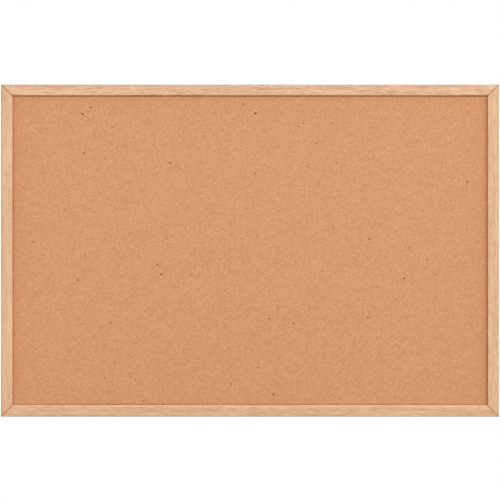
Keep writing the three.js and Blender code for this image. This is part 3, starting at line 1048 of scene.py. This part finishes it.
def makeStrap(side, hinge):
    # The middle line runs up the wood from the round end, then rolls over the wire from -90 degrees to just
    # past 180, where it stops short of the strip by the seam.
    s = strap
    half = s["width"] / 2
    roll = s["eye radius"] + s["thickness"]
    middle = s["eye radius"] + s["thickness"] / 2
    t = np.linspace(s["first turn"], quarterTurn, s["round steps"])
    straight = np.linspace(-s["length"] + half, 0, s["flat steps"])[1:]
    flatZ = np.concatenate([-s["length"] + half * (1 - np.cos(t)), straight])
    flatWidths = np.concatenate([half * np.sin(t), np.full(len(straight), half)])
    end = math.pi + math.asin((s["eye radius"] - s["seam"]) / roll)
    angle = np.linspace(-quarterTurn, end, s["roll steps"])[1:]
    y = np.concatenate([np.full(len(flatZ), s["thickness"] / 2), roll + middle * np.sin(angle)])
    z = np.concatenate([flatZ, middle * np.cos(angle)])
    x = np.full(len(y), hinge[0])
    path = np.stack([x, backPlane + y, hinge[2] + z], -1)
    normalY = np.concatenate([np.full(len(flatZ), -1.0), np.sin(angle)])
    normalZ = np.concatenate([np.zeros(len(flatZ)), np.cos(angle)])
    normals = np.stack([np.zeros(len(y)), normalY, normalZ], -1)
    widths = np.concatenate([flatWidths, np.full(len(angle), half)])
    rings = stripAlong(path, normals, np.array([1.0, 0, 0]), widths, s["thickness"], s["soft edge"])
    points, faces = ringStack(rings)
    name = side + "_hanger_strap"
    return makePiece(name + "_steel", points, faces, "board", steel["strip"], [name])


ring = {
    "wire": 2 * mm,
    "bend": 2 * mm,
    "side": 1.5 * mm,
    "butt": 0.3 * mm,
    "bar play": 0.4 * mm,
    "end share": 0.86,
    "bar steps": 7,
    "bend steps": 9,
    "bow steps": 19,
    "around": 24,
}


def ringPath():
    # Seen square on, from one end of the bar round the bow to the other: the bar, a quarter bend, a short
    # straight, the half circle of the bow, and the same again mirrored.
    bar = strap["width"] / 2 + ring["bar play"]
    bend = ring["bend"]
    bow = bar + bend
    low = -bend - ring["side"]
    along = np.linspace(ring["butt"] / 2, bar, ring["bar steps"])[:-1]
    a = np.linspace(quarterTurn, 0, ring["bend steps"])
    b = np.linspace(0, -quarterTurn, ring["bow steps"])
    half = np.concatenate([
        np.stack([along, np.zeros(len(along))], -1),
        np.stack([bar + bend * np.cos(a), -bend + bend * np.sin(a)], -1),
        np.stack([bow * np.cos(b), low + bow * np.sin(b)], -1),
    ])
    return np.concatenate([half, half[-2::-1] * (-1, 1)])


def makeRing(side, hinge):
    # A round wire carried along the path. Its ends are rounded where they butt inside the eye.
    path = ringPath()
    ahead = np.gradient(path, axis=0)
    ahead /= np.linalg.norm(ahead, axis=1)[:, None]
    across = np.stack([ahead[:, 1], -ahead[:, 0]], -1)
    radius = np.full(len(path), ring["wire"] / 2)
    radius[[0, -1]] *= ring["end share"]
    angle = circle(ring["around"])
    flat = path[:, None] + (radius[:, None] * np.cos(angle))[..., None] * across[:, None]
    y = hinge[1] + radius[:, None] * np.sin(angle)
    points, faces = ringStack(np.stack([hinge[0] + flat[..., 0], y, hinge[2] + flat[..., 1]], -1))
    name = side + "_hanger_ring"
    return makePiece(name + "_steel", points, faces, side + "_ring", steel["wire"], [name])


screw = {
    "shank": 3 * mm,
    "core": 2.2 * mm,
    "pitch": 1.2 * mm,
    "crest": 0.22,
    "length": 12 * mm,
    "tip": 3 * mm,
    "tip end": 0.02 * mm,
    "neck": 0.3 * mm,
    "run out": 1 * mm,
    "head": 6 * mm,
    "head height": 2 * mm,
    "rim": 0.8 * mm,
    "rim shares": (0.5, 0.96, 1.0, 1.0),
    "rim rises": (0.0, 0.0, 0.06 * mm, 0.8 * mm),
    "dome turn": (0.12, 0.9),
    "dome shares": (0.61, 0.015),
    "drop": 19 * mm,
    "arm half": 0.50 * mm,
    "arm reach": 1.8 * mm,
    "wall": 0.26 * mm,
    "end wall": 0.416 * mm,
    "recess": 1.0 * mm,
    "turned": {"left": 0.35, "right": 1.05},
    "around": 144,
}


def makeScrew(side, hinge):
    # Rings round the screw's axis. The shank's radius rises and falls with the thread, which climbs one pitch
    # a turn. The head is half an ellipse, and its cross is cut to the recess depth along two square arms.
    s = screw
    turns = circle(s["around"])
    level = np.ones_like(turns)
    h = np.linspace(-s["length"] + s["tip end"], -s["neck"], 90)[:, None]
    cone = np.clip((h + s["length"]) / s["tip"], 0, 1)
    wave = (h / s["pitch"] - turns / fullTurn) % 1
    crest = np.clip(1 - np.abs(wave - 0.5) / s["crest"], 0, 1)
    thread = (s["shank"] - s["core"]) / 2 * crest * np.clip(-h / s["run out"] - 1, 0, 1)
    shank = (s["core"] / 2 + thread) * cone
    rim = s["head"] / 2 * np.array(s["rim shares"])[:, None]
    edge, top = np.cos(np.linspace(*s["dome turn"], 9)), np.linspace(*s["dome shares"], 46)
    share = np.concatenate([edge, top])[:, None]
    x, z = s["head"] / 2 * share * np.cos(turns), s["head"] / 2 * share * np.sin(turns)
    across, along = np.minimum(np.abs(x), np.abs(z)), np.maximum(np.abs(x), np.abs(z))
    cross = eased((s["arm half"] - across) / s["wall"]) * eased((s["arm reach"] - along) / s["end wall"])
    dome = s["rim"] + (s["head height"] - s["rim"]) * np.sqrt(1 - share ** 2) - s["recess"] * cross
    radius = np.concatenate([shank, rim * level, s["head"] / 2 * share * level])
    height = np.concatenate([h * level, np.array(s["rim rises"])[:, None] * level, dome])
    angle = turns + s["turned"][side]
    x, z = hinge[0] + radius * np.cos(angle), hinge[2] - s["drop"] + radius * np.sin(angle)
    points, faces = ringStack(np.stack([x, backPlane + strap["thickness"] + height, z], -1))
    name = side + "_hanger_screw"
    return makePiece(name + "_steel", points, faces, "board", steel["fasteners"], [name])


for joint in frame["joints"]:
    side = joint["child"].split("_")[0]
    makeStrap(side, joint["pos_m"])
    makeRing(side, joint["pos_m"])
    makeScrew(side, joint["pos_m"])
print("hangers hung")


# Bumpers

bumper = {
    "tone": (0.80, 0.74, 0.64),
    "dark share": (0.88, 0.88, 0.86),
    "pale share": (1.1, 1.1, 1.1),
    "haze": 2.2 * mm,
    "dust": 0.3 * mm,
    "dust range": (0.62, 0.75),
    "dust strength": 0.3,
    "dust tone": (0.42, 0.38, 0.32),
    "roughness": (0.10, 0.24),
    "bump": (0.05 * mm, 0.3),
    "clearness": 0.18,
    "foot share": 0.97,
    "foot": 0.12 * mm,
    "pole": 0.03 * mm,
    "around": 64,
    "rings": 22,
}


def makeClearRubber():
    f = bumper
    material, tree = newMaterial("clear rubber")
    place = objectPlace(tree)
    haze = noise(tree, place, f["haze"], 3.0)
    dust = remap(tree, noise(tree, place, f["dust"]), *f["dust range"])
    colour = mixColour(tree, haze, times(f["tone"], f["dark share"]), times(f["tone"], f["pale share"]))
    colour = mixColour(tree, maths(tree, "MULTIPLY", dust, f["dust strength"]), colour, f["dust tone"])
    roughness = remap(tree, haze, *noiseRange, *f["roughness"])
    finishMaterial(tree, colour, roughness, haze, f["bump"], Transmission_Weight=f["clearness"], IOR=1.46)
    return material


def makeBumper(side):
    # A cap of a sphere on a short upright foot: the radius at angle t of the cap is the sphere's radius times
    # cos(t), from the wood up to the pole.
    low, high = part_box(side + "_wall_bumper")
    middle = (low + high) / 2
    base, height = (high.x - low.x) / 2, high.y - low.y
    sphere = (base ** 2 + height ** 2) / (2 * height)
    start = math.asin((sphere - height) / sphere)
    t = np.linspace(start, quarterTurn, bumper["rings"])[:-1, None]
    rise = np.maximum(height - sphere + sphere * np.sin(t), bumper["foot"])
    radius = np.concatenate([[[base * bumper["foot share"]]], sphere * np.cos(t), [[bumper["pole"]]]])
    rise = np.concatenate([[[0.0]], rise, [[height]]])
    angle = circle(bumper["around"])
    x, z = middle.x + radius * np.cos(angle), middle.z + radius * np.sin(angle)
    points, faces = ringStack(np.stack([x, low.y + rise * np.ones_like(angle), z], -1))
    name = side + "_wall_bumper"
    return makePiece(name + "_dome", points, faces, "board", rubber, [name])


rubber = makeClearRubber()
makeBumper("left")
makeBumper("right")
print("bumpers stuck on")


# Floor, light and camera

# Where the photograph has the frame's left and right edges and its middle, in pixels
photo = {"left": 0.95, "right": 499.05, "middle x": 250.0, "middle y": 250.6, "side": 500}
pixel = 2 * halfWidth / (photo["right"] - photo["left"])
studio = {
    "sky": 0.42,
    "key share": 0.56,
    "key from": (0.50, -0.68, 0.53),
    "key distance": 16.0,
    "key size": 3.6,
    "back share": 0.60,
    "back from": (-0.45, 0.72, 0.53),
    "back distance": 9.0,
    "back size": 2.5,
    "floor shown": (0.84, 0.84, 0.84),
    "floor dark share": (0.98, 0.98, 0.98),
    "floor grain": 0.4,
    "floor bounce": (0.38, 0.38, 0.38),
    "floor half": 5.0,
    "floor lines": 41,
    "floor play": 0.2 * mm,
    "camera distance": 3.0,
}


def shown(tree):
    # 1 to the camera, to gloss and through clear pieces, and 0 to the light that falls on the board
    path = put(tree, "LightPath").outputs
    seen = maths(tree, "MAXIMUM", path["Is Camera Ray"], path["Is Glossy Ray"])
    return maths(tree, "MAXIMUM", seen, path["Is Transmission Ray"])


def makeFloor():
    # A flat grid of points, just below the board
    line = np.linspace(-studio["floor half"], studio["floor half"], studio["floor lines"])
    x, y = np.meshgrid(line, line, indexing="ij")
    z = np.full(x.shape, -halfHeight - studio["floor play"])
    mesh = bpy.data.meshes.new("floor")
    mesh.from_pydata(np.stack([x, y, z], -1).reshape(-1, 3), [], gridQuads(*x.shape))
    material, tree = newMaterial("pale floor")
    grain = noise(tree, objectPlace(tree), studio["floor grain"], 3.0)
    dark = times(studio["floor shown"], studio["floor dark share"])
    pale = mixColour(tree, grain, dark, studio["floor shown"])
    colour = mixColour(tree, shown(tree), studio["floor bounce"], pale)
    finishMaterial(tree, colour, 0.9, Specular_IOR_Level=0.1)
    mesh.materials.append(material)
    floor = bpy.data.objects.new("floor", mesh)
    bpy.context.scene.collection.objects.link(floor)


def makeLamp(name, share, direction, distance, size):
    # A square soft lamp, far off. Its power gives the board's face that share of full light: the light that
    # arrives is power / (pi * distance^2), times the cosine, and a plain surface sends back 1 / pi of it.
    away = np.array(direction) / np.linalg.norm(direction)
    lamp = bpy.data.lights.new(name, "AREA")
    lamp.shape = "SQUARE"
    lamp.size = size
    lamp.energy = share * math.pi ** 2 * distance ** 2 / abs(away[1])
    holder = bpy.data.objects.new(name, lamp)
    holder.location = away * distance
    holder.rotation_mode = "QUATERNION"
    holder.rotation_quaternion = Vector(away).to_track_quat("Z", "Y")
    bpy.context.scene.collection.objects.link(holder)


def makeSky():
    # White where it is shown, and a plain grey as light
    world = bpy.data.worlds.new("studio")
    bpy.context.scene.world = world
    world.use_nodes = True
    tree = world.node_tree
    tree.nodes.clear()
    light = put(tree, "Background", {"Color": (1, 1, 1, 1), "Strength": studio["sky"]})
    white = put(tree, "Background", {"Color": (1, 1, 1, 1), "Strength": 1.0})
    mixed = put(tree, "MixShader", {0: shown(tree), 1: light.outputs[0], 2: white.outputs[0]})
    output = put(tree, "OutputWorld")
    tree.links.new(mixed.outputs[0], output.inputs[0])


def makeCamera():
    # Square on to the board, as the photograph was taken
    data = bpy.data.cameras.new("camera")
    data.type = "ORTHO"
    data.ortho_scale = pixel * photo["side"]
    camera = bpy.data.objects.new("camera", data)
    middle = photo["side"] / 2
    aimX = (middle - photo["middle x"]) * pixel
    aimZ = (photo["middle y"] - middle) * pixel
    camera.location = (aimX, -studio["camera distance"], aimZ)
    camera.rotation_euler = (quarterTurn, 0, 0)
    bpy.context.scene.collection.objects.link(camera)
    bpy.context.scene.camera = camera


makeFloor()
makeLamp("key", studio["key share"], studio["key from"], studio["key distance"], studio["key size"])
makeLamp("back light", studio["back share"], studio["back from"], studio["back distance"],
         studio["back size"])
makeSky()
makeCamera()
bpy.context.scene.view_settings.view_transform = "Standard"

print("stage set")
